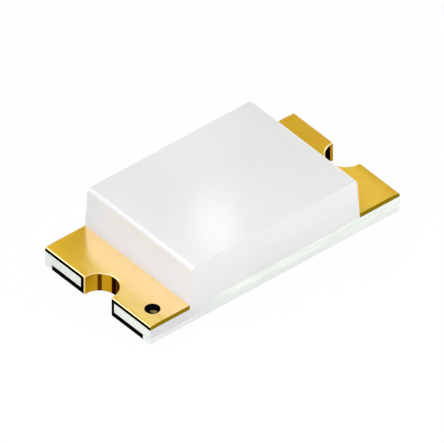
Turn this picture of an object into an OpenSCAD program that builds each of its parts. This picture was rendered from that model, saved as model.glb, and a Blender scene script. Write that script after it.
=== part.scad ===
// Surface-mount chip light-emitting diode, thin 1608 metric outline.
// A white laminate strip carries two wrap-around gold-plated terminals. The diode
// die sits on the cathode terminal's die pad, one gold wire joins it to the anode
// terminal, and a block of diffused epoxy is cast over both.
// Millimetres. X runs along the length from cathode (-X) to anode (+X), Z points up,
// and the origin is the centre of the package.

/* [Package] */
// Overall length, from one sawn end to the other
package_l = 1.6; // [1.4:0.05:2.4]
// Overall width, between the sawn sides
package_w = 0.8; // [0.6:0.05:1.2]

/* [Laminate] */
// Thickness of the laminate core
core_t = 0.057; // [0.04:0.001:0.2]
// Diameter of the plated half hole in each end
hole_d = 0.2; // [0.12:0.01:0.26]
// Distance of the half holes' axes inside the sawn ends
hole_inset = 0.012; // [0:0.001:0.03]
// Wall of the plating inside the half holes
plating_t = 0.028; // [0.012:0.001:0.035]

/* [Terminals] */
// Length of each bare land on top, from the end to the foot of the epoxy
land_l = 0.255; // [0.21:0.005:0.3]
// Thickness of the plated foil on top
foil_t = 0.025; // [0.015:0.001:0.04]
// Thickness of the solder pads underneath
pad_t = 0.032; // [0.025:0.001:0.05]
// Length of each solder pad
pad_l = 0.35; // [0.25:0.01:0.5]
// Distance from each side of the package to the solder pads
pad_inset = 0.053; // [0.02:0.001:0.12]
// Width of the foil necks under the epoxy
neck_w = 0.3; // [0.15:0.01:0.4]
// Bare gap between the die pad and the anode's bond finger
foil_gap = 0.1; // [0.06:0.01:0.15]

/* [Underside resist] */
// Depth of the white resist's face above the faces of the solder pads
resist_recess = 0.002; // [0:0.001:0.015]

/* [Polarity mark] */
// Diameter of the round window that marks the cathode
mark_d = 0.08; // [0.05:0.002:0.1]
// Distance of the window's centre from the end and from the side
mark_inset = 0.1; // [0.07:0.01:0.13]
// Depth of the black ink's face below the face of the land
mark_recess = 0.003; // [0:0.001:0.01]

/* [Die] */
// Side of the square die
die_w = 0.2; // [0.14:0.01:0.26]
// Thickness of the die
die_t = 0.09; // [0.06:0.005:0.12]
// Rim of the die pad outside the die, on each side
die_pad_rim = 0.07; // [0.04:0.01:0.1]
// Adhesive between the die pad and the die
attach_t = 0.01; // [0.005:0.001:0.02]
// Spread of the adhesive outside the die, on each side
attach_spread = 0.03; // [0.015:0.001:0.035]
// Height to which the adhesive climbs the die's sides
attach_climb = 0.035; // [0.02:0.001:0.05]
// Diameter of the gold contact on the die
contact_d = 0.1; // [0.08:0.005:0.12]
// Thickness of the gold contact on the die
contact_t = 0.006; // [0.004:0.001:0.01]

/* [Bond wire] */
// Diameter of the wire
wire_d = 0.025; // [0.018:0.001:0.03]
// Diameter of the squashed ball on the die
ball_d = 0.064; // [0.04:0.002:0.075]
// Height of the squashed ball
ball_t = 0.018; // [0.01:0.001:0.025]
// Height of the loop's centre line above the ball
loop_h = 0.048; // [0.03:0.002:0.06]
// Length of the flattened stitch on the bond finger
stitch_l = 0.045; // [0.03:0.005:0.06]
// Thickness of the flattened stitch
stitch_t = 0.011; // [0.008:0.001:0.015]
// Width of the flattened stitch
stitch_w = 0.045; // [0.035:0.005:0.06]
// Distance of the stitch from the tip of the bond finger
stitch_inset = 0.06; // [0.04:0.01:0.08]

/* [Epoxy] */
// Height of the epoxy above the lands
epoxy_h = 0.227; // [0.21:0.001:0.5]
// Lean of the moulded ends, from upright
draft_angle = 3.7; // [0:0.1:12]
// Radius of the moulded edges along the top of each end
edge_r = 0.022; // [0.005:0.001:0.05]

/* [Hidden] */

$fn = 64;

// Heights of the layers, from the seating plane up
package_h = pad_t + core_t + foil_t + epoxy_h;
z_seat = -package_h / 2;
z_core = z_seat + pad_t;
z_foil = z_core + core_t;
z_land = z_foil + foil_t;
terminal_h = z_land - z_seat;
resist_t = pad_t - resist_recess;
mark_t = foil_t - mark_recess;
z_die = z_land + attach_t;
z_contact = z_die + die_t;
z_ball = z_contact + contact_t;
z_loop = z_ball + ball_t + loop_h;
z_top = z_land + epoxy_h;

// Plan sizes that follow from the driving dimensions
end_x = package_l / 2;
side_y = package_w / 2;
foot_x = end_x - land_l;
pad_w = package_w - 2 * pad_inset;
drill_r = hole_d / 2 + plating_t;
die_pad_w = die_w + 2 * die_pad_rim;
finger_x = die_pad_w / 2 + foil_gap;
stitch_x = finger_x + stitch_inset;
mark_at = [-end_x + mark_inset, -side_y + mark_inset];

// Cutters run this far past the faces that they open
past = 0.05;

// Wire loop: the bend over the ball reaches this share of the way to the stitch
bend_share = 0.16;
// Share of the way down at which the wire starts to flatten towards the stitch
flatten_from = 0.55;
wire_sides = 8;
bend_steps = 6;
drop_steps = 12;
arc_steps = 8;

gold_colour = [0.89, 0.7, 0.22];
laminate_colour = [0.95, 0.96, 0.95];
resist_colour = [0.93, 0.94, 0.94];
ink_colour = [0.03, 0.03, 0.05];
silver_colour = [0.72, 0.72, 0.7];
die_colour = [0.3, 0.32, 0.36];
epoxy_colour = [0.9, 0.9, 0.91, 0.85];

// Cubic curve through its first and last control points, at share t of the way
function curve(c, t) = pow(1 - t, 3) * c[0] + 3 * t * pow(1 - t, 2) * c[1]
    + 3 * t * t * (1 - t) * c[2] + pow(t, 3) * c[3];

// Direction of that curve, as an angle in the XZ plane
function curve_angle(c, t) =
    let (d = pow(1 - t, 2) * (c[1] - c[0]) + 2 * t * (1 - t) * (c[2] - c[1]) + t * t * (c[3] - c[2]))
    atan2(d[1], d[0]);

// Points of a rounded corner about a centre, from one angle to another
function arc(centre, radius, from, to) =
    [for (i = [0 : arc_steps]) let (a = from + (to - from) * i / arc_steps)
        centre + radius * [cos(a), sin(a)]];

// Upright box from its lowest corner in plan, bottom height, plan size and thickness
module slab(corner, z, size, thickness) {
    translate([corner[0], corner[1], z]) cube([size[0], size[1], thickness]);
}

// Square block centred on the Z axis
module centred_block(width, z, thickness) {
    slab([-width / 2, -width / 2], z, [width, width], thickness);
}

// Round column at the cathode end, where the half hole is
module end_column(radius, z, height) {
    translate([hole_inset - end_x, 0, z]) cylinder(r = radius, h = height);
}

// Wrap-around terminal at the cathode end: land on top, plated half hole and solder
// pad underneath, with the foil that the children add on top
module terminal() {
    cut_z = z_seat - past;
    cut_h = terminal_h + 2 * past;
    difference() {
        union() {
            slab([-end_x, -side_y], z_foil, [land_l, package_w], foil_t);
            slab([-end_x, -pad_w / 2], z_seat, [pad_l, pad_w], pad_t);
            end_column(drill_r, z_seat, terminal_h);
            children();
        }
        end_column(hole_d / 2, cut_z, cut_h);
        slab([-end_x - 2 * drill_r, -side_y], cut_z, [2 * drill_r, package_w], cut_h);
    }
}

// Round window in the cathode's land, and the ink that fills it
module mark_disc(z, thickness) {
    translate([mark_at[0], mark_at[1], z]) cylinder(d = mark_d, h = thickness);
}

module laminate_core() {
    color(laminate_colour) difference() {
        slab([-end_x, -side_y], z_core, [package_l, package_w], core_t);
        for (turn = [0, 180]) rotate(turn) end_column(drill_r, z_core - past, core_t + 2 * past);
    }
}

module underside_resist() {
    color(resist_colour) difference() {
        slab([-end_x, -side_y], z_core - resist_t, [package_l, package_w], resist_t);
        for (turn = [0, 180]) rotate(turn)
            slab([-end_x - past, -pad_w / 2], z_seat - past, [pad_l + past, pad_w], pad_t + 2 * past);
    }
}

module cathode_terminal() {
    color(gold_colour) difference() {
        terminal() {
            slab([-end_x, -neck_w / 2], z_foil, [end_x, neck_w], foil_t);
            centred_block(die_pad_w, z_foil, foil_t);
        }
        mark_disc(z_foil - past, foil_t + 2 * past);
    }
}

module anode_terminal() {
    color(gold_colour) rotate(180) terminal()
        slab([-end_x, -neck_w / 2], z_foil, [end_x - finger_x, neck_w], foil_t);
}

module polarity_mark() {
    color(ink_colour) mark_disc(z_foil, mark_t);
}

// Adhesive film under the die, with a fillet that leans against the die's sides
module die_attach() {
    rim_w = die_w + 2 * attach_spread;
    color(silver_colour) difference() {
        translate([0, 0, z_land]) linear_extrude(attach_climb, scale = die_w / rim_w)
            square(rim_w, center = true);
        centred_block(die_w, z_die, die_t);
    }
}

module led_die() {
    color(die_colour) centred_block(die_w, z_die, die_t);
}

module die_contact() {
    color(gold_colour) translate([0, 0, z_contact]) cylinder(d = contact_d, h = contact_t);
}

// Centre line and section of the wire as [x, z, angle, half thickness, half width],
// from inside the ball over the loop to the far end of the stitch
function wire_stations() =
    let (
        radius = wire_d / 2,
        flat_z = z_land + stitch_t / 2 * cos(180 / wire_sides),
        bend_x = stitch_x * bend_share,
        start = [0, z_ball + ball_t / 2],
        peak = [bend_x, z_loop],
        stitch = [stitch_x, flat_z],
        bend = [start, [0, z_loop], [bend_x / 2, z_loop], peak],
        drop_pull = (stitch_x - bend_x) / 2,
        drop = [peak, [bend_x + drop_pull, z_loop], [stitch_x - drop_pull, flat_z], stitch]
    )
    concat(
        [for (i = [0 : bend_steps - 1]) let (t = i / bend_steps, p = curve(bend, t))
            [p[0], p[1], curve_angle(bend, t), radius, radius]],
        [for (i = [0 : drop_steps])
            let (t = i / drop_steps, p = curve(drop, t),
                 flat = max(0, (t - flatten_from) / (1 - flatten_from)))
            [p[0], p[1], curve_angle(drop, t),
             radius + (stitch_t / 2 - radius) * flat, radius + (stitch_w / 2 - radius) * flat]],
        [[stitch_x + stitch_l, flat_z, 0, stitch_t / 2, stitch_w / 2]]
    );

// Solid through the wire's stations, one ring of corners at each
module wire_sweep() {
    stations = wire_stations();
    last = len(stations) - 1;
    corners = [for (s = stations, j = [0 : wire_sides - 1])
        let (turn = 360 * (j + 0.5) / wire_sides, up = s[3] * cos(turn))
        [s[0] - up * sin(s[2]), s[4] * sin(turn), s[1] + up * cos(s[2])]];
    walls = [for (i = [0 : last - 1], j = [0 : wire_sides - 1])
        let (a = i * wire_sides + j, b = i * wire_sides + (j + 1) % wire_sides,
             c = a + wire_sides, d = b + wire_sides)
        each [[a, b, d], [a, d, c]]];
    near_cap = [for (j = [wire_sides - 1 : -1 : 0]) j];
    far_cap = [for (j = [0 : wire_sides - 1]) last * wire_sides + j];
    polyhedron(corners, concat(walls, [near_cap, far_cap]));
}

module bond_wire() {
    color(gold_colour) {
        intersection() {
            translate([0, 0, z_ball + ball_t / 2]) sphere(d = ball_d);
            centred_block(ball_d, z_ball, ball_t);
        }
        wire_sweep();
    }
}

// Side view of the epoxy: upright between the lands, leaning in above them
module epoxy_profile() {
    lean = epoxy_h * tan(draft_angle);
    // Distance from the sharp top corner to the centre of its rounding, along X
    round_x = edge_r * tan((90 + draft_angle) / 2);
    round_at = [foot_x - lean - round_x, z_top - edge_r];
    right_round = arc(round_at, edge_r, draft_angle, 90);
    left_round = [for (i = [arc_steps : -1 : 0]) [-right_round[i][0], right_round[i][1]]];
    polygon(concat([[-foot_x, z_foil], [foot_x, z_foil], [foot_x, z_land]],
                   right_round, left_round, [[-foot_x, z_land]]));
}

module epoxy_lens() {
    color(epoxy_colour) difference() {
        rotate([90, 0, 0]) linear_extrude(package_w, center = true) epoxy_profile();
        cathode_terminal();
        anode_terminal();
        die_attach();
        led_die();
        die_contact();
        bond_wire();
    }
}

laminate_core();
underside_resist();
cathode_terminal();
anode_terminal();
polarity_mark();
die_attach();
led_die();
die_contact();
bond_wire();
epoxy_lens();
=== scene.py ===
import math

import bmesh
import bpy
from mathutils import Matrix, Vector


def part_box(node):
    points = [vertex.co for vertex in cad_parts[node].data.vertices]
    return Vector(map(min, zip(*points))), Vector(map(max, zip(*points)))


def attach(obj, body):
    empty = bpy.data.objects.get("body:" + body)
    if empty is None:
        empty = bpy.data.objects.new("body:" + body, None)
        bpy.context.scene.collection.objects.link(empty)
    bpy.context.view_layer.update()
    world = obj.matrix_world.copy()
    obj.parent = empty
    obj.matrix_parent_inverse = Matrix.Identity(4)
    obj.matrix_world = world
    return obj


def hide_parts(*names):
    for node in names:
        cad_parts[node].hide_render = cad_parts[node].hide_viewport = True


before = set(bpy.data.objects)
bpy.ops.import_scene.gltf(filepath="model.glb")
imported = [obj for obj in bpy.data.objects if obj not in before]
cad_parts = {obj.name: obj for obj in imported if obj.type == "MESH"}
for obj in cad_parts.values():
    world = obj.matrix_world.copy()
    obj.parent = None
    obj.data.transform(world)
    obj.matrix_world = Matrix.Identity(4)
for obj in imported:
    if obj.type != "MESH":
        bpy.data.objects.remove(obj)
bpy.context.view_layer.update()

# Lengths are in millimetres. Meshes, lamps and the camera are brought to metres as they are finished.
MM = 0.001


def box_mm(node):
    """Lowest and highest corner of a CAD node."""
    low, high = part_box(node)
    return low / MM, high / MM


CORE_LOW, CORE_HIGH = box_mm("laminate_core")
CATHODE_LOW, CATHODE_HIGH = box_mm("cathode_terminal")
MARK_LOW, MARK_HIGH = box_mm("polarity_mark")
EPOXY_HIGH = box_mm("epoxy_lens")[1]

# Sizes that follow from the frame
END_X = CORE_HIGH.x
SIDE_Y = CORE_HIGH.y
Z_SEAT = CATHODE_LOW.z
Z_CORE = CORE_LOW.z
Z_FOIL = CORE_HIGH.z
Z_LAND = CATHODE_HIGH.z
Z_TOP = EPOXY_HIGH.z
Z_DIE_TOP = box_mm("led_die")[1].z
FOOT_X = EPOXY_HIGH.x
DIE_PAD_HALF = CATHODE_HIGH.x
FINGER_X = box_mm("anode_terminal")[0].x
MARK_CENTRE = (MARK_LOW + MARK_HIGH) / 2
MARK_R = (MARK_HIGH.x - MARK_LOW.x) / 2
MARK_CORNER_WAY = Vector((-END_X - MARK_CENTRE.x, -SIDE_Y - MARK_CENTRE.y, 0.0)).normalized()

# Sizes that the frame's boxes don't give
HOLE_R = 0.1
HOLE_INSET = 0.012
DRILL_R = 0.128
PAD_LENGTH = 0.35
PAD_INSET = 0.053
NECK_WIDTH = 0.3
EPOXY_EDGE_R = 0.022
EPOXY_LEAN = 0.0147
EPOXY_TOP_X = FOOT_X - EPOXY_LEAN

# Small roundings and the saw's roll-over, which only the visible pieces have
RIM_BEVEL = 0.007
SIDE_RIM_BEVEL = 0.0024
BORE_EDGE_BEVEL = 0.013
WINDOW_BEVEL = 0.002
PAD_BEVEL = 0.003
SAWN_BEVEL = 0.0015
ROLL_LENGTH = 0.09
ROLL_DROP = 0.004
ROLL_STEPS = 6
INK_DROP = 0.0015

# Fineness of the meshes, and how near a point lies to count as on a face
HOLE_SIDES = 48
MARK_SIDES, MARK_RINGS = 64, 12
SHARP_ANGLE = math.radians(38)
FLAT_ANGLE = math.radians(0.5)
SAME, NEAR, ABOUT = 1e-5, 1e-4, 1e-3


# Shader helpers

def tone(red, green, blue):
    """Linear colour from screen values of 0 to 255."""
    def linear(value):
        share = value / 255
        return share / 12.92 if share <= 0.04045 else ((share + 0.055) / 1.055) ** 2.4
    return (linear(red), linear(green), linear(blue), 1.0)


WHITE = (1.0, 1.0, 1.0, 1.0)


def fill(tree, socket, value):
    """Joins a socket to another, or sets it to a constant."""
    if isinstance(value, bpy.types.NodeSocket):
        tree.links.new(value, socket)
    else:
        socket.default_value = value


def add(tree, kind, inputs=None, **settings):
    """A new node with these settings and inputs."""
    node = tree.nodes.new(kind)
    for name, value in settings.items():
        setattr(node, name, value)
    for name, value in (inputs or {}).items():
        fill(tree, node.inputs[name], value)
    return node


def calc(tree, operation, *values):
    """Result of a math node."""
    node = add(tree, "ShaderNodeMath", operation=operation)
    for socket, value in zip(node.inputs, values):
        fill(tree, socket, value)
    return node.outputs[0]


def times(tree, first, *others):
    """Product of several values."""
    for other in others:
        first = calc(tree, "MULTIPLY", first, other)
    return first


def rest_of(tree, share):
    """What a share leaves of 1."""
    return calc(tree, "SUBTRACT", 1.0, share)


def distance(tree, along, across):
    """Distance from the origin of a point with these two coordinates."""
    squares = [calc(tree, "POWER", value, 2.0) for value in (along, across)]
    return calc(tree, "SQRT", calc(tree, "ADD", *squares))


def dot(tree, first, second):
    node = add(tree, "ShaderNodeVectorMath", {0: first, 1: second}, operation="DOT_PRODUCT")
    return node.outputs["Value"]


def ease(tree, value, low, high, from_value=0.0, to_value=1.0):
    """A smooth step from one value to another between low and high."""
    node = add(tree, "ShaderNodeMapRange", {
        "Value": value, "From Min": low, "From Max": high, "To Min": from_value, "To Max": to_value,
    }, interpolation_type="SMOOTHSTEP")
    return node.outputs["Result"]


def blend(tree, share, first, second):
    """Colour between two, nearer the second as the share grows."""
    node = add(tree, "ShaderNodeMix", data_type="RGBA")
    fill(tree, node.inputs["Factor"], share)
    sockets = [s for s in node.inputs if s.type == "RGBA"]
    fill(tree, sockets[0], first)
    fill(tree, sockets[1], second)
    return [s for s in node.outputs if s.type == "RGBA"][0]


def noise(tree, place, scale, detail):
    node = add(tree, "ShaderNodeTexNoise", {"Vector": place, "Scale": scale, "Detail": detail})
    return node.outputs["Fac"]


def stretched_noise(tree, place, per_mm, detail):
    """Noise with its own number of waves per millimetre along each axis."""
    mapping = add(tree, "ShaderNodeMapping", {"Vector": place, "Scale": per_mm})
    return noise(tree, mapping.outputs["Vector"], scale=1.0, detail=detail)


def split(tree, vector):
    parts = add(tree, "ShaderNodeSeparateXYZ", {"Vector": vector})
    return parts.outputs["X"], parts.outputs["Y"], parts.outputs["Z"]


def new_group(name, inputs, outputs):
    """An empty shader node group with its tree, and the ends of its inputs and outputs."""
    tree = bpy.data.node_groups.new(name, "ShaderNodeTree")
    for label, kind, value in inputs:
        socket = tree.interface.new_socket(label, in_out="INPUT", socket_type=kind)
        if value is not None:
            socket.default_value = value
    for label, kind in outputs:
        tree.interface.new_socket(label, in_out="OUTPUT", socket_type=kind)
    return tree, add(tree, "NodeGroupInput").outputs, add(tree, "NodeGroupOutput").inputs


def use(tree, group, **inputs):
    """Outputs of a shader node group, with these inputs."""
    node = add(tree, "ShaderNodeGroup", node_tree=group)
    for label, value in inputs.items():
        fill(tree, node.inputs[label.replace("_", " ").title()], value)
    return node.outputs


def new_material(name, **constants):
    """A material with its shader, and the place on the part in millimetres."""
    material = bpy.data.materials.new(name)
    material.use_nodes = True
    tree = material.node_tree
    tree.nodes.clear()
    shader = add(tree, "ShaderNodeBsdfPrincipled")
    for label, value in constants.items():
        shader.inputs[label.replace("_", " ")].default_value = value
    output = add(tree, "ShaderNodeOutputMaterial")
    tree.links.new(shader.outputs["BSDF"], output.inputs["Surface"])
    coordinates = add(tree, "ShaderNodeTexCoord")
    place = add(tree, "ShaderNodeVectorMath", {"Vector": coordinates.outputs["Object"], "Scale": 1 / MM},
                operation="SCALE")
    return material, tree, shader, place.outputs["Vector"]


def roughen(tree, shader, mask, least, spread, more=None):
    """Roughness that the mask raises from least by spread, with more of it added where given."""
    rough = calc(tree, "MULTIPLY_ADD", mask, spread, least)
    if more is not None:
        rough = calc(tree, "ADD", rough, more)
    fill(tree, shader.inputs["Roughness"], rough)


def raise_surface(tree, shader, height, depth):
    """Bump of that depth in millimetres on the shader's normal."""
    bump = add(tree, "ShaderNodeBump", {"Height": height, "Distance": depth * MM, "Strength": 1.0})
    tree.links.new(bump.outputs["Normal"], shader.inputs["Normal"])


# Effects that several materials share

def make_fine_grain():
    """Cloudy mottling with a finer grain on it."""
    tree, given, result = new_group(
        "fine grain",
        [("Place", "NodeSocketVector", None), ("Cloud Scale", "NodeSocketFloat", None),
         ("Grain Scale", "NodeSocketFloat", None)],
        [("Cloud", "NodeSocketFloat"), ("Grain", "NodeSocketFloat")],
    )
    cloud = noise(tree, given["Place"], given["Cloud Scale"], detail=3.0)
    fill(tree, result["Cloud"], ease(tree, cloud, 0.3, 0.7))
    fill(tree, result["Grain"], noise(tree, given["Place"], given["Grain Scale"], detail=2.0))
    return tree


def make_saw_marks():
    """Masks of the faces that the saw cut, the two ends and the long sides, and its fine level streaks."""
    cut_depth = 0.0012
    coarse_share = 0.55
    tree, given, result = new_group(
        "saw marks",
        [("Place", "NodeSocketVector", None), ("End X", "NodeSocketFloat", END_X),
         ("Side Y", "NodeSocketFloat", SIDE_Y), ("End Depth", "NodeSocketFloat", cut_depth),
         ("Side Depth", "NodeSocketFloat", cut_depth)],
        [("Sawn End", "NodeSocketFloat"), ("Sawn Side", "NodeSocketFloat"), ("Streaks", "NodeSocketFloat")],
    )
    x, y, _ = split(tree, given["Place"])
    for face, along, limit in (("End", x, given["End X"]), ("Side", y, given["Side Y"])):
        inside = calc(tree, "SUBTRACT", limit, calc(tree, "ABSOLUTE", along))
        fill(tree, result["Sawn " + face], calc(tree, "LESS_THAN", inside, given[face + " Depth"]))
    coarse = stretched_noise(tree, given["Place"], per_mm=(2.2, 2.2, 70.0), detail=2.0)
    fine = stretched_noise(tree, given["Place"], per_mm=(5.0, 5.0, 190.0), detail=3.0)
    streaks = calc(tree, "MULTIPLY_ADD", fine, 1.0 - coarse_share, times(tree, coarse, coarse_share))
    fill(tree, result["Streaks"], streaks)
    return tree


FINE_GRAIN = make_fine_grain()
SAW_MARKS = make_saw_marks()


# Materials

GOLD_DARK, GOLD_LIGHT = tone(254, 209, 14), tone(255, 217, 25)
GOLD_MIRROR_TINT = tone(150, 100, 34)
# The sawn sides are cut metal, and their darker olive tone is painted shade.
GOLD_SHADED_SAWN_SIDE, GOLD_SAWN_END = tone(168, 142, 12), tone(6, 5, 4)
GOLD_SAWN_END_DEPTH = 0.0014
# Tones of the half holes' walls: the brown and black are painted reflections on the plated bore.
BORE_GOLD, BORE_BROWN, BORE_BLACK = tone(200, 152, 30), tone(80, 30, 4), tone(16, 7, 4)
# Painted dark reflection bands down a half hole's wall: share of the way round it, half width and strength
BORE_REFLECTION_STREAKS = ((0.163, 0.122, 1.0), (0.375, 0.09, 0.85), (0.518, 0.053, 0.97), (0.773, 0.035, 0.92))
BORE_STREAK_BLUR = 0.01
BORE_BLACK_FROM = 0.9
BORE_DEPTH = 0.002
BORE_SMOOTHER = 0.28


def bore_of_half_holes(tree, x, y, z):
    """Mask and tone of the half holes' walls, with painted dark reflection bands down them."""
    from_axis_x = calc(tree, "SUBTRACT", END_X - HOLE_INSET, calc(tree, "ABSOLUTE", x))
    on_wall = calc(tree, "LESS_THAN", distance(tree, from_axis_x, y), HOLE_R + BORE_DEPTH)
    bore = times(tree, on_wall, calc(tree, "LESS_THAN", z, Z_LAND - RIM_BEVEL))
    # The anode is the cathode's shape turned half round, so its streaks turn with it.
    own_y = times(tree, y, calc(tree, "SIGN", x), -1.0)
    around = calc(tree, "MULTIPLY_ADD", calc(tree, "ARCTAN2", own_y, from_axis_x), 1 / math.pi, 0.5)
    painted_reflection = 0.0
    for centre, half_width, strength in BORE_REFLECTION_STREAKS:
        off = calc(tree, "ABSOLUTE", calc(tree, "SUBTRACT", around, centre))
        streak = ease(tree, off, half_width - BORE_STREAK_BLUR, half_width + BORE_STREAK_BLUR, strength, 0.0)
        painted_reflection = calc(tree, "MAXIMUM", painted_reflection, streak)
    wall = blend(tree, painted_reflection, BORE_GOLD, BORE_BROWN)
    return bore, blend(tree, ease(tree, painted_reflection, BORE_BLACK_FROM, 1.0), wall, BORE_BLACK)


def make_gold_plating():
    material, tree, shader, place = new_material(
        "gold plating", Metallic=1.0, Specular_Tint=GOLD_MIRROR_TINT, Coat_IOR=3.8, Coat_Roughness=0.19,
    )
    grain = use(tree, FINE_GRAIN, place=place, cloud_scale=9.0, grain_scale=120.0)
    saw = use(tree, SAW_MARKS, place=place, end_depth=GOLD_SAWN_END_DEPTH)
    bore, wall = bore_of_half_holes(tree, *split(tree, place))
    gold = blend(tree, grain["Cloud"], GOLD_DARK, GOLD_LIGHT)
    gold = blend(tree, bore, gold, wall)
    # Sawn sides: cut metal with a painted shade of darker olive.
    gold = blend(tree, saw["Sawn Side"], gold, GOLD_SHADED_SAWN_SIDE)
    gold = blend(tree, saw["Sawn End"], gold, GOLD_SAWN_END)
    fill(tree, shader.inputs["Base Color"], gold)
    roughen(tree, shader, grain["Grain"], least=0.64, spread=0.16, more=times(tree, bore, -BORE_SMOOTHER))
    # Cut metal and the half holes' walls, with their painted reflection bands, have no bright skin.
    bare = calc(tree, "MAXIMUM", saw["Sawn End"], saw["Sawn Side"])
    bare = calc(tree, "MAXIMUM", bare, bore)
    fill(tree, shader.inputs["Coat Weight"], rest_of(tree, bare))
    raise_surface(tree, shader, grain["Grain"], depth=0.0004)
    return material


EPOXY_DARK, EPOXY_LIGHT = tone(222, 222, 222), tone(226, 226, 225)
EPOXY_SAWN, EPOXY_SAWN_SHARE, EPOXY_SAWN_ROUGHER = tone(238, 238, 238), 0.35, 0.25
EPOXY_PAINTED_COOL_END = tone(226, 233, 250)
EPOXY_EDGE_HIGHLIGHT = tone(234, 234, 234)


def make_epoxy():
    material, tree, shader, place = new_material("milky epoxy", Metallic=0.0, IOR=1.52)
    x, y, z = split(tree, place)
    grain = use(tree, FINE_GRAIN, place=place, cloud_scale=3.0, grain_scale=90.0)
    saw = use(tree, SAW_MARKS, place=place)
    body = blend(tree, grain["Cloud"], EPOXY_DARK, EPOXY_LIGHT)
    pale_streaks = ease(tree, saw["Streaks"], 0.35, 0.7, 0.4, 1.0)
    sawn = times(tree, saw["Sawn Side"], pale_streaks, EPOXY_SAWN_SHARE)
    body = blend(tree, sawn, body, EPOXY_SAWN)
    # A painted cool tint on the cathode end offsets the warm light that the gold throws on it, most of all low
    # down and in the middle.
    near_end = ease(tree, x, 0.012 - FOOT_X, 0.03 - FOOT_X, 1.0, 0.0)
    low_down = ease(tree, z, Z_LAND + 0.05, Z_TOP, 1.0, 0.0)
    mid_width = ease(tree, calc(tree, "ABSOLUTE", y), 0.6 * SIDE_Y, SIDE_Y, 1.0, 0.65)
    painted_cool = times(tree, near_end, rest_of(tree, saw["Sawn Side"]), low_down, mid_width)
    body = blend(tree, painted_cool, body, EPOXY_PAINTED_COOL_END)
    # The rounded end edges of the top are painted lighter, a painted highlight.
    past_round = calc(tree, "ADD", calc(tree, "ABSOLUTE", x), z)
    past_round = calc(tree, "SUBTRACT", past_round, EPOXY_TOP_X + Z_TOP - 2 * EPOXY_EDGE_R)
    painted_edge_light = ease(tree, past_round, EPOXY_EDGE_R, 1.3 * EPOXY_EDGE_R)
    fill(tree, shader.inputs["Base Color"], blend(tree, painted_edge_light, body, EPOXY_EDGE_HIGHLIGHT))
    rougher = times(tree, saw["Sawn Side"], EPOXY_SAWN_ROUGHER)
    roughen(tree, shader, grain["Grain"], least=0.2, spread=0.1, more=rougher)
    marks = times(tree, saw["Sawn Side"], saw["Streaks"])
    raise_surface(tree, shader, calc(tree, "MULTIPLY_ADD", grain["Grain"], 0.2, marks), depth=0.0008)
    return material


LAMINATE_DARK, LAMINATE_LIGHT = tone(233, 239, 232), tone(247, 251, 244)
LAMINATE_FIBRE, LAMINATE_FIBRE_SHARE = tone(227, 238, 230), 0.8
LAMINATE_GREY_SIDE, LAMINATE_GREY_SHARE = tone(216, 212, 217), 0.8
LAMINATE_GREY_X, LAMINATE_PLAIN_X = -0.62, -0.2
LAMINATE_END, LAMINATE_END_SHARE = tone(226, 230, 223), 0.6
FIBRE_SLANT = math.radians(12.0)


def make_laminate():
    material, tree, shader, place = new_material("white laminate", Metallic=0.0, IOR=1.5)
    grain = use(tree, FINE_GRAIN, place=place, grain_scale=110.0)
    saw = use(tree, SAW_MARKS, place=place)
    body = blend(tree, ease(tree, saw["Streaks"], 0.35, 0.65), LAMINATE_DARK, LAMINATE_LIGHT)
    # Bundles of glass fibre, cut at a slant
    slanted = add(tree, "ShaderNodeVectorRotate", {"Vector": place, "Angle": FIBRE_SLANT},
                  rotation_type="Y_AXIS").outputs[0]
    bundles = stretched_noise(tree, slanted, per_mm=(7.0, 7.0, 46.0), detail=1.5)
    body = blend(tree, ease(tree, bundles, 0.46, 0.62, 0.0, LAMINATE_FIBRE_SHARE), body, LAMINATE_FIBRE)
    # The sides are greyer towards the cathode.
    x = split(tree, place)[0]
    towards = ease(tree, x, LAMINATE_GREY_X, LAMINATE_PLAIN_X, LAMINATE_GREY_SHARE, 0.0)
    body = blend(tree, times(tree, saw["Sawn Side"], towards), body, LAMINATE_GREY_SIDE)
    body = blend(tree, times(tree, saw["Sawn End"], LAMINATE_END_SHARE), body, LAMINATE_END)
    fill(tree, shader.inputs["Base Color"], body)
    roughen(tree, shader, grain["Grain"], least=0.5, spread=0.2)
    raise_surface(tree, shader, saw["Streaks"], depth=0.0015)
    return material


RESIST_DARK, RESIST_LIGHT = tone(234, 238, 236), tone(243, 245, 244)
RESIST_STREAK, RESIST_STREAK_SHARE = tone(220, 224, 222), 0.3


def make_resist():
    material, tree, shader, place = new_material("white resist", Metallic=0.0, IOR=1.5)
    grain = use(tree, FINE_GRAIN, place=place, cloud_scale=4.0, grain_scale=70.0)
    saw = use(tree, SAW_MARKS, place=place)
    body = blend(tree, grain["Cloud"], RESIST_DARK, RESIST_LIGHT)
    body = blend(tree, times(tree, saw["Streaks"], RESIST_STREAK_SHARE), body, RESIST_STREAK)
    fill(tree, shader.inputs["Base Color"], body)
    roughen(tree, shader, grain["Grain"], least=0.3, spread=0.15)
    raise_surface(tree, shader, grain["Grain"], depth=0.001)
    return material


INK_DARK, INK_LIGHT = tone(1, 1, 2), tone(5, 4, 9)
INK_GLINT = tone(124, 113, 82)
# The painted glint in shares of the dot's radius: its place outwards and across, and where it starts to fade and
# ends
GLINT_OUTWARD, GLINT_ACROSS = 0.45, 0.2
GLINT_FADE, GLINT_END = 0.12, 0.3
GLINT_LONGER = 2.0


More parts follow.
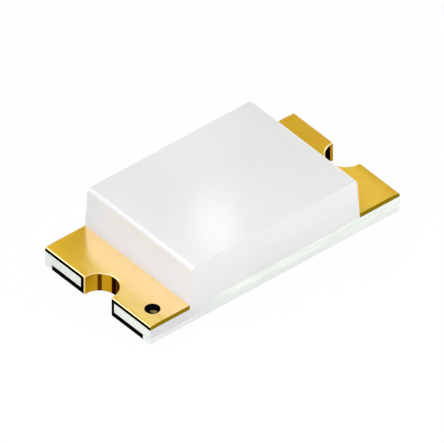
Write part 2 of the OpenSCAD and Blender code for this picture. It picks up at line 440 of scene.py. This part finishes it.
def make_ink():
    material, tree, shader, place = new_material("black marking ink", Metallic=0.0, IOR=1.05)
    grain = use(tree, FINE_GRAIN, place=place, cloud_scale=30.0, grain_scale=160.0)
    x, y, _ = split(tree, place)
    # A painted glint in a grey-tan tone on the ink, on the side towards the package's corner.
    from_x = calc(tree, "SUBTRACT", x, MARK_CENTRE.x)
    from_y = calc(tree, "SUBTRACT", y, MARK_CENTRE.y)
    way = MARK_CORNER_WAY / MARK_R
    outward = calc(tree, "MULTIPLY_ADD", from_x, way.x, times(tree, from_y, way.y))
    across = calc(tree, "MULTIPLY_ADD", from_x, -way.y, times(tree, from_y, way.x))
    along_rim = times(tree, calc(tree, "SUBTRACT", across, GLINT_ACROSS), 1 / GLINT_LONGER)
    away = distance(tree, along_rim, calc(tree, "SUBTRACT", outward, GLINT_OUTWARD))
    painted_glint = ease(tree, away, GLINT_FADE, GLINT_END, 1.0, 0.0)
    black = blend(tree, grain["Cloud"], INK_DARK, INK_LIGHT)
    fill(tree, shader.inputs["Base Color"], blend(tree, painted_glint, black, INK_GLINT))
    roughen(tree, shader, grain["Grain"], least=0.35, spread=0.2)
    raise_surface(tree, shader, grain["Grain"], depth=0.0003)
    return material


SILVER_DARK, SILVER_LIGHT = tone(168, 168, 165), tone(226, 226, 222)
FLAKES_PER_MM = 150.0


def make_silver_adhesive():
    material, tree, shader, place = new_material("silver-filled adhesive", Metallic=0.6, IOR=1.5)
    flakes = add(tree, "ShaderNodeTexVoronoi", {"Vector": place, "Scale": FLAKES_PER_MM})
    share = add(tree, "ShaderNodeSeparateColor", {"Color": flakes.outputs["Color"]}).outputs["Red"]
    fill(tree, shader.inputs["Base Color"], blend(tree, share, SILVER_DARK, SILVER_LIGHT))
    roughen(tree, shader, share, least=0.35, spread=0.3)
    raise_surface(tree, shader, flakes.outputs["Distance"], depth=0.002)
    return material


DIE_DARK, DIE_LIGHT, DIE_LAYER = tone(92, 96, 106), tone(108, 112, 122), tone(150, 138, 84)
DIE_LAYER_DEPTH, DIE_LAYER_FULL = 0.02, 0.012


def make_die():
    material, tree, shader, place = new_material("semiconductor die", Metallic=0.0, IOR=2.6)
    grain = use(tree, FINE_GRAIN, place=place, cloud_scale=20.0, grain_scale=200.0)
    body = blend(tree, grain["Cloud"], DIE_DARK, DIE_LIGHT)
    # Grown layers on top of the wafer
    z = split(tree, place)[2]
    layer = ease(tree, z, Z_DIE_TOP - DIE_LAYER_DEPTH, Z_DIE_TOP - DIE_LAYER_FULL)
    fill(tree, shader.inputs["Base Color"], blend(tree, layer, body, DIE_LAYER))
    roughen(tree, shader, grain["Grain"], least=0.15, spread=0.2)
    raise_surface(tree, shader, grain["Grain"], depth=0.0008)
    return material


BOND_GOLD_DARK, BOND_GOLD_LIGHT = tone(238, 196, 84), tone(248, 212, 110)


def make_bond_gold():
    material, tree, shader, place = new_material("bond gold", Metallic=1.0)
    grain = use(tree, FINE_GRAIN, place=place, cloud_scale=25.0, grain_scale=220.0)
    fill(tree, shader.inputs["Base Color"], blend(tree, grain["Cloud"], BOND_GOLD_DARK, BOND_GOLD_LIGHT))
    roughen(tree, shader, grain["Grain"], least=0.15, spread=0.2)
    raise_surface(tree, shader, grain["Grain"], depth=0.0004)
    return material


GOLD_PLATING = make_gold_plating()
EPOXY = make_epoxy()
INK = make_ink()
BOND_GOLD = make_bond_gold()


# Pieces

def mesh_from_nodes(name, tree, inputs):
    """The plain mesh that a Geometry Nodes tree makes with these inputs."""
    maker = bpy.data.objects.new(name, bpy.data.meshes.new(name))
    bpy.context.scene.collection.objects.link(maker)
    modifier = maker.modifiers.new(name, "NODES")
    modifier.node_group = tree
    for item in tree.interface.items_tree:
        if item.in_out == "INPUT" and item.name in inputs:
            modifier[item.identifier] = inputs[item.name]
    graph = bpy.context.evaluated_depsgraph_get()
    mesh = bpy.data.meshes.new_from_object(maker.evaluated_get(graph), depsgraph=graph)
    maker.modifiers.remove(modifier)
    bpy.data.objects.remove(maker)
    return mesh


def finish_piece(name, shape, material, node):
    """Smooths the shape's normals, brings it to metres and sets it in the frame in place of its node."""
    mesh = bpy.data.meshes.new(name)
    shape.to_mesh(mesh)
    shape.free()
    mesh.shade_smooth()
    mesh.set_sharp_from_angle(angle=SHARP_ANGLE)
    piece = bpy.data.objects.new(name, mesh)
    bpy.context.scene.collection.objects.link(piece)
    weighted = piece.modifiers.new("flat faces stay flat", "WEIGHTED_NORMAL")
    weighted.keep_sharp = True
    graph = bpy.context.evaluated_depsgraph_get()
    piece.data = bpy.data.meshes.new_from_object(piece.evaluated_get(graph), depsgraph=graph)
    piece.modifiers.clear()
    piece.data.name = name
    piece.data.transform(Matrix.Scale(MM, 4))
    piece.data.materials.clear()
    piece.data.materials.append(material)
    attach(piece, "root")
    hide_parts(node)


def make_whole(shape):
    """Merges double points and joins the parts of flat faces."""
    bmesh.ops.remove_doubles(shape, verts=shape.verts, dist=SAME)
    bmesh.ops.dissolve_limit(shape, angle_limit=FLAT_ANGLE, verts=shape.verts, edges=shape.edges)


def sharp_edges(shape, keep):
    """Edges with a clear corner, both ends of which keep() accepts."""
    return [e for e in shape.edges
            if len(e.link_faces) == 2 and e.calc_face_angle(0.0) > SHARP_ANGLE
            and all(keep(v.co) for v in e.verts)]


def bevel(shape, edges, width, segments, clamp=True):
    bmesh.ops.bevel(shape, geom=edges, offset=width, offset_type="OFFSET", segments=segments, profile=0.5,
                    affect="EDGES", clamp_overlap=clamp)


TERMINAL_BLOCKS = ("Land", "Neck", "Pad", "Die Pad", "Trim")


def make_terminal_tree():
    """Wrap-around terminal at the -X end: land, neck and die pad in the foil, barrel and solder pad below."""
    tree = bpy.data.node_groups.new("wrap-around terminal", "GeometryNodeTree")
    kinds = {
        "NodeSocketVector": [block + part for block in TERMINAL_BLOCKS for part in (" Size", " Centre")]
                            + ["Barrel Centre", "Mark Centre"],
        "NodeSocketFloat": ["Barrel Radius", "Barrel Height", "Hole Radius", "Hole Height", "Mark Radius",
                            "Mark Height"],
        "NodeSocketInt": ["Sides"],
        "NodeSocketBool": ["Has Die Pad"],
        "NodeSocketMaterial": ["Material"],
    }
    for kind, labels in kinds.items():
        for label in labels:
            tree.interface.new_socket(label, in_out="INPUT", socket_type=kind)
    tree.interface.new_socket("Geometry", in_out="OUTPUT", socket_type="NodeSocketGeometry")
    given = add(tree, "NodeGroupInput").outputs

    def move(mesh, centre):
        return add(tree, "GeometryNodeTransform", {"Geometry": mesh, "Translation": centre}).outputs[0]

    def block(label):
        cube = add(tree, "GeometryNodeMeshCube", {"Size": given[label + " Size"]})
        return move(cube.outputs["Mesh"], given[label + " Centre"])

    def column(label, centre):
        cylinder = add(tree, "GeometryNodeMeshCylinder", {
            "Vertices": given["Sides"], "Radius": given[label + " Radius"], "Depth": given[label + " Height"],
        })
        return move(cylinder.outputs["Mesh"], given[centre + " Centre"])

    def combine(operation, first, others):
        node = add(tree, "GeometryNodeMeshBoolean", operation=operation, solver="EXACT")
        if first is not None:
            tree.links.new(first, node.inputs["Mesh 1"])
        for mesh in others:
            tree.links.new(mesh, node.inputs["Mesh 2"])
        return node.outputs["Mesh"]

    def only_cathode(mesh):
        switch = add(tree, "GeometryNodeSwitch", {"Switch": given["Has Die Pad"], "True": mesh},
                     input_type="GEOMETRY")
        return switch.outputs[0]

    solid = combine("UNION", None, [block("Land"), block("Neck"), block("Pad"), column("Barrel", "Barrel"),
                                    only_cathode(block("Die Pad"))])
    cut = combine("DIFFERENCE", solid, [column("Hole", "Barrel"), block("Trim"),
                                        only_cathode(column("Mark", "Mark"))])
    whole = add(tree, "GeometryNodeRealizeInstances", {"Geometry": cut}).outputs[0]
    dressed = add(tree, "GeometryNodeSetMaterial", {"Geometry": whole, "Material": given["Material"]})
    fill(tree, add(tree, "NodeGroupOutput").inputs["Geometry"], dressed.outputs[0])
    return tree


TERMINAL_TREE = make_terminal_tree()


def terminal_inputs(neck_end, has_die_pad):
    """Inputs of the terminal tree: size and centre of each block, and the columns' measures."""
    past = 0.05
    pad_side = SIDE_Y - PAD_INSET
    corners = {
        "Land": ((-END_X, -SIDE_Y, Z_FOIL), (-FOOT_X, SIDE_Y, Z_LAND)),
        "Neck": ((-END_X, -NECK_WIDTH / 2, Z_FOIL), (neck_end, NECK_WIDTH / 2, Z_LAND)),
        "Pad": ((-END_X, -pad_side, Z_SEAT), (-END_X + PAD_LENGTH, pad_side, Z_CORE)),
        "Die Pad": ((-DIE_PAD_HALF, -DIE_PAD_HALF, Z_FOIL), (DIE_PAD_HALF, DIE_PAD_HALF, Z_LAND)),
        # The trim takes off all that lies beyond the sawn end.
        "Trim": ((-END_X - 3 * DRILL_R, -SIDE_Y - past, Z_SEAT - past),
                 (-END_X, SIDE_Y + past, Z_LAND + past)),
    }
    inputs = {
        "Barrel Radius": DRILL_R, "Barrel Height": Z_LAND - Z_SEAT,
        "Barrel Centre": (HOLE_INSET - END_X, 0.0, (Z_LAND + Z_SEAT) / 2),
        "Hole Radius": HOLE_R, "Hole Height": 2 * (Z_LAND - Z_SEAT),
        "Mark Radius": MARK_R, "Mark Height": 2 * (Z_LAND - Z_FOIL),
        "Mark Centre": (MARK_CENTRE.x, MARK_CENTRE.y, (Z_FOIL + Z_LAND) / 2),
        "Sides": HOLE_SIDES, "Has Die Pad": has_die_pad, "Material": GOLD_PLATING,
    }
    for block in TERMINAL_BLOCKS:
        low, high = (Vector(corner) for corner in corners[block])
        inputs[block + " Size"], inputs[block + " Centre"] = tuple(high - low), tuple((low + high) / 2)
    return inputs


def round_terminal(shape, has_window):
    """Rounds the edges of the bore, the land's rim, the ink's window and the solder pad."""
    mouth = math.sqrt(HOLE_R ** 2 - HOLE_INSET ** 2)

    def at_mouth(p):
        return p.x < -END_X + NEAR and abs(abs(p.y) - mouth) < ABOUT

    def on_land(p):
        return p.z > Z_LAND - NEAR and p.x < -FOOT_X + ABOUT

    def on_side(p):
        return on_land(p) and abs(p.y) > SIDE_Y - NEAR

    def on_seat(p):
        return p.z < Z_SEAT + NEAR

    def of_window(edge):
        return all((v.co.xy - MARK_CENTRE.xy).length < MARK_R + ABOUT for v in edge.verts)

    def of_end(edge):
        outside = min(v.co.x for v in edge.verts) < -FOOT_X - ABOUT
        return outside and not of_window(edge) and not all(on_side(v.co) for v in edge.verts)

    bevel(shape, sharp_edges(shape, at_mouth), BORE_EDGE_BEVEL, segments=4)
    bevel(shape, [e for e in sharp_edges(shape, on_land) if of_end(e)], RIM_BEVEL, segments=3, clamp=False)
    bevel(shape, sharp_edges(shape, on_side), SIDE_RIM_BEVEL, segments=3)
    if has_window:
        bevel(shape, [e for e in sharp_edges(shape, on_land) if of_window(e)], WINDOW_BEVEL, segments=2)
    bevel(shape, sharp_edges(shape, on_seat), PAD_BEVEL, segments=2)


def roll_end(shape):
    """Lowers the land a little towards the sawn end, where the saw rolled it over."""
    for step in range(ROLL_STEPS):
        cut_x = -END_X + ROLL_LENGTH * (step + 1) / ROLL_STEPS
        bmesh.ops.bisect_plane(shape, geom=shape.verts[:] + shape.edges[:] + shape.faces[:], dist=SAME,
                               plane_co=(cut_x, 0.0, 0.0), plane_no=(1.0, 0.0, 0.0))
    for vert in shape.verts:
        share = (-END_X + ROLL_LENGTH - vert.co.x) / ROLL_LENGTH
        if share > 0.0 and vert.co.z > Z_LAND - RIM_BEVEL - NEAR:
            vert.co.z -= ROLL_DROP * share ** 2


def make_terminal(name, node, neck_end, has_die_pad, turn):
    """A terminal made at the -X end and then turned to its own end."""
    shape = bmesh.new()
    shape.from_mesh(mesh_from_nodes(name, TERMINAL_TREE, terminal_inputs(neck_end, has_die_pad)))
    make_whole(shape)
    round_terminal(shape, has_die_pad)
    roll_end(shape)
    bmesh.ops.dissolve_degenerate(shape, dist=SAME, edges=shape.edges)
    bmesh.ops.rotate(shape, matrix=Matrix.Rotation(turn, 3, "Z"), verts=shape.verts)
    finish_piece(name, shape, GOLD_PLATING, node)


make_terminal("cathode_wrap", "cathode_terminal", neck_end=0.0, has_die_pad=True, turn=0.0)
make_terminal("anode_wrap", "anode_terminal", neck_end=-FINGER_X, has_die_pad=False, turn=math.pi)


def make_epoxy_block():
    """A merged copy of the CAD block, with its sawn long edges rounded."""
    shape = bmesh.new()
    shape.from_mesh(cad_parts["epoxy_lens"].data)
    bmesh.ops.scale(shape, vec=(1 / MM,) * 3, verts=shape.verts)
    make_whole(shape)
    long_edges = sharp_edges(shape, lambda p: abs(p.y) > SIDE_Y - NEAR and p.z > Z_LAND - NEAR)
    bevel(shape, long_edges, SAWN_BEVEL, segments=2)
    finish_piece("epoxy_block", shape, EPOXY, "epoxy_lens")


make_epoxy_block()


def make_mark():
    """Bead of ink in its window: level, and run down on the side of the package's corner."""
    level_share = 0.2

    def top_at(offset):
        outward = offset.dot(MARK_CORNER_WAY.xy) / MARK_R
        share = max(0.0, outward - level_share) / (1.0 - level_share)
        return MARK_HIGH.z - INK_DROP * share ** 2

    shape = bmesh.new()
    loops = []
    for ring in range(1, MARK_RINGS + 1):
        loop = []
        for i in range(MARK_SIDES):
            turn = math.tau * i / MARK_SIDES
            offset = Vector((math.cos(turn), math.sin(turn))) * MARK_R * ring / MARK_RINGS
            loop.append(shape.verts.new((MARK_CENTRE.x + offset.x, MARK_CENTRE.y + offset.y, top_at(offset))))
        loops.append(loop)
    loops.append([shape.verts.new((v.co.x, v.co.y, MARK_LOW.z)) for v in loops[-1]])
    centre = shape.verts.new((MARK_CENTRE.x, MARK_CENTRE.y, MARK_HIGH.z))
    for i in range(MARK_SIDES):
        j = (i + 1) % MARK_SIDES
        shape.faces.new((centre, loops[0][i], loops[0][j]))
        for inner, outer in zip(loops, loops[1:]):
            shape.faces.new((inner[i], outer[i], outer[j], inner[j]))
    shape.faces.new(list(reversed(loops[-1])))
    finish_piece("polarity_dot", shape, INK, "polarity_mark")


make_mark()

# The other pieces keep their CAD shape.
for node, material in (
    ("laminate_core", make_laminate()),
    ("underside_resist", make_resist()),
    ("die_attach", make_silver_adhesive()),
    ("led_die", make_die()),
    ("die_contact", BOND_GOLD),
    ("bond_wire", BOND_GOLD),
):
    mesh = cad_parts[node].data
    mesh.materials.clear()
    mesh.materials.append(material)


# Camera: the photograph's oblique view from above the cathode end
AZIMUTH = math.radians(-40.044)
ELEVATION = math.radians(39.907)
VIEW_WIDTH = 2.1782
AIM_RIGHT, AIM_UP = -0.00166, -0.05243
CAMERA_DISTANCE = 6.0
CLIP_START, CLIP_END = 0.1, 1000.0

right = Vector((math.cos(AZIMUTH), math.sin(AZIMUTH), 0.0))
toward = Vector((math.sin(AZIMUTH) * math.cos(ELEVATION), -math.cos(AZIMUTH) * math.cos(ELEVATION),
                 math.sin(ELEVATION)))
up = toward.cross(right)


def make_camera():
    data = bpy.data.cameras.new("camera")
    data.type = "ORTHO"
    data.ortho_scale = VIEW_WIDTH * MM
    data.clip_start = CLIP_START * MM
    data.clip_end = CLIP_END * MM
    camera = bpy.data.objects.new("camera", data)
    bpy.context.scene.collection.objects.link(camera)
    turn = Matrix((right, up, toward)).transposed().to_4x4()
    aim = right * AIM_RIGHT + up * AIM_UP
    camera.matrix_world = Matrix.Translation((aim + toward * CAMERA_DISTANCE) * MM) @ turn
    bpy.context.scene.camera = camera


make_camera()


# Studio: white floor, glowing surround and soft lamps
FLOOR_REACH = 60.0
FLOOR_TONE = 0.86
FLOOR_WHITE_SHARE = 0.95


def make_floor():
    mesh = bpy.data.meshes.new("floor")
    corners = [(-1, -1), (1, -1), (1, 1), (-1, 1)]
    reach = FLOOR_REACH * MM
    mesh.from_pydata([(x * reach, y * reach, Z_SEAT * MM) for x, y in corners], [], [(0, 1, 2, 3)])
    floor = bpy.data.objects.new("floor", mesh)
    bpy.context.scene.collection.objects.link(floor)
    material = bpy.data.materials.new("white floor")
    material.use_nodes = True
    tree = material.node_tree
    tree.nodes.clear()
    path = add(tree, "ShaderNodeLightPath").outputs
    seen = calc(tree, "MAXIMUM", path["Is Camera Ray"],
                calc(tree, "MAXIMUM", path["Is Glossy Ray"], path["Is Transmission Ray"]))
    matt = add(tree, "ShaderNodeBsdfDiffuse", {"Color": (FLOOR_TONE, FLOOR_TONE, FLOOR_TONE, 1.0)})
    white = add(tree, "ShaderNodeEmission", {"Color": WHITE, "Strength": 1.0})
    mixed = add(tree, "ShaderNodeMixShader", {"Fac": times(tree, seen, FLOOR_WHITE_SHARE)})
    tree.links.new(matt.outputs[0], mixed.inputs[1])
    tree.links.new(white.outputs[0], mixed.inputs[2])
    output = add(tree, "ShaderNodeOutputMaterial")
    tree.links.new(mixed.outputs[0], output.inputs["Surface"])
    mesh.materials.append(material)


make_floor()

GLOW_LEVEL = 2.7
ROOM_LEVEL = 0.05


def make_surround():
    """Dim room with a glow high behind the part, which is dark in its middle.

    The camera sees white all round, and reflections see white near the horizon.
    """
    world = bpy.data.worlds.new("studio")
    bpy.context.scene.world = world
    world.use_nodes = True
    tree = world.node_tree
    tree.nodes.clear()
    direction = add(tree, "ShaderNodeTexCoord").outputs["Generated"]
    z = split(tree, direction)[2]
    facing = dot(tree, direction, Vector((-toward.x, -toward.y, toward.z)))
    glow = ease(tree, facing, 0.4, 0.75, 0.0, GLOW_LEVEL)
    weaker_left = ease(tree, dot(tree, direction, right), -0.5, 0.2, 0.4, 1.0)
    weaker_overhead = ease(tree, z, 0.75, 0.92, 1.0, 0.45)
    weaker_low = ease(tree, z, 0.15, 0.6, 0.15, 1.0)
    dark_middle = ease(tree, facing, 0.9, 0.965, 1.0, 0.02)
    glow = times(tree, glow, weaker_left, weaker_overhead, weaker_low)
    level = times(tree, calc(tree, "ADD", glow, ROOM_LEVEL), dark_middle)
    path = add(tree, "ShaderNodeLightPath").outputs
    mirrored = calc(tree, "MAXIMUM", path["Is Glossy Ray"], path["Is Transmission Ray"])
    near_horizon = ease(tree, z, 0.1, 0.25, 1.0, 0.0)
    seen = calc(tree, "MAXIMUM", path["Is Camera Ray"], times(tree, near_horizon, mirrored))
    strength = calc(tree, "MULTIPLY_ADD", seen, rest_of(tree, level), level)
    background = add(tree, "ShaderNodeBackground", {"Color": WHITE, "Strength": strength})
    output = add(tree, "ShaderNodeOutputWorld")
    tree.links.new(background.outputs[0], output.inputs["Surface"])


make_surround()


def make_lamp(name, way, far, size, brightness, long_way=(0.0, 0.0, 1.0), tint=(1.0, 1.0, 1.0)):
    """Soft lamp that far from the part in that direction, facing it, with its second side along long_way."""
    data = bpy.data.lights.new(name, "AREA")
    data.shape = "RECTANGLE"
    data.size, data.size_y = size[0] * MM, size[1] * MM
    data.energy = brightness * math.pi * data.size * data.size_y
    data.color = tint
    lamp = bpy.data.objects.new(name, data)
    bpy.context.scene.collection.objects.link(lamp)
    back = Vector(way).normalized()
    across = Vector(long_way).cross(back).normalized()
    turn = Matrix((across, back.cross(across), back)).transposed().to_4x4()
    lamp.matrix_world = Matrix.Translation(back * far * MM) @ turn
    lamp.visible_camera = False
    return lamp


make_lamp("key", way=(-0.3, -0.76, 0.64), far=1.8, size=(1.1, 1.1), brightness=1.67)
make_lamp("left key", way=(-0.87, -0.36, 0.25), far=4.0, size=(3.2, 3.0), brightness=2.0)
make_lamp("back panel", way=(-0.415, 0.562, 0.715), far=8.4, size=(7.0, 8.0), brightness=2.2,
          long_way=(0.609, 0.0, 0.794))
fill_lamp = make_lamp("front fill", way=(0.5, -0.83, 0.2), far=3.0, size=(2.0, 2.0), brightness=2.75)
fill_lamp.visible_glossy = False
make_lamp("small spot", way=(0.38, 0.515, 0.94), far=1.137, size=(0.2, 0.2), brightness=5.1)
make_lamp("cathode land spot", way=(-0.05, 0.65, 0.98), far=1.177, size=(0.34, 0.6), brightness=0.7,
          long_way=(0.0, 1.0, 0.0), tint=(0.72, 1.0, 0.84))
make_lamp("anode land spot", way=(1.46, 0.63, 0.92), far=1.837, size=(0.4, 0.4), brightness=0.62,
          long_way=(0.0, 1.0, 0.0), tint=(1.0, 0.82, 0.2))

view = bpy.context.scene.view_settings
view.view_transform = "Standard"
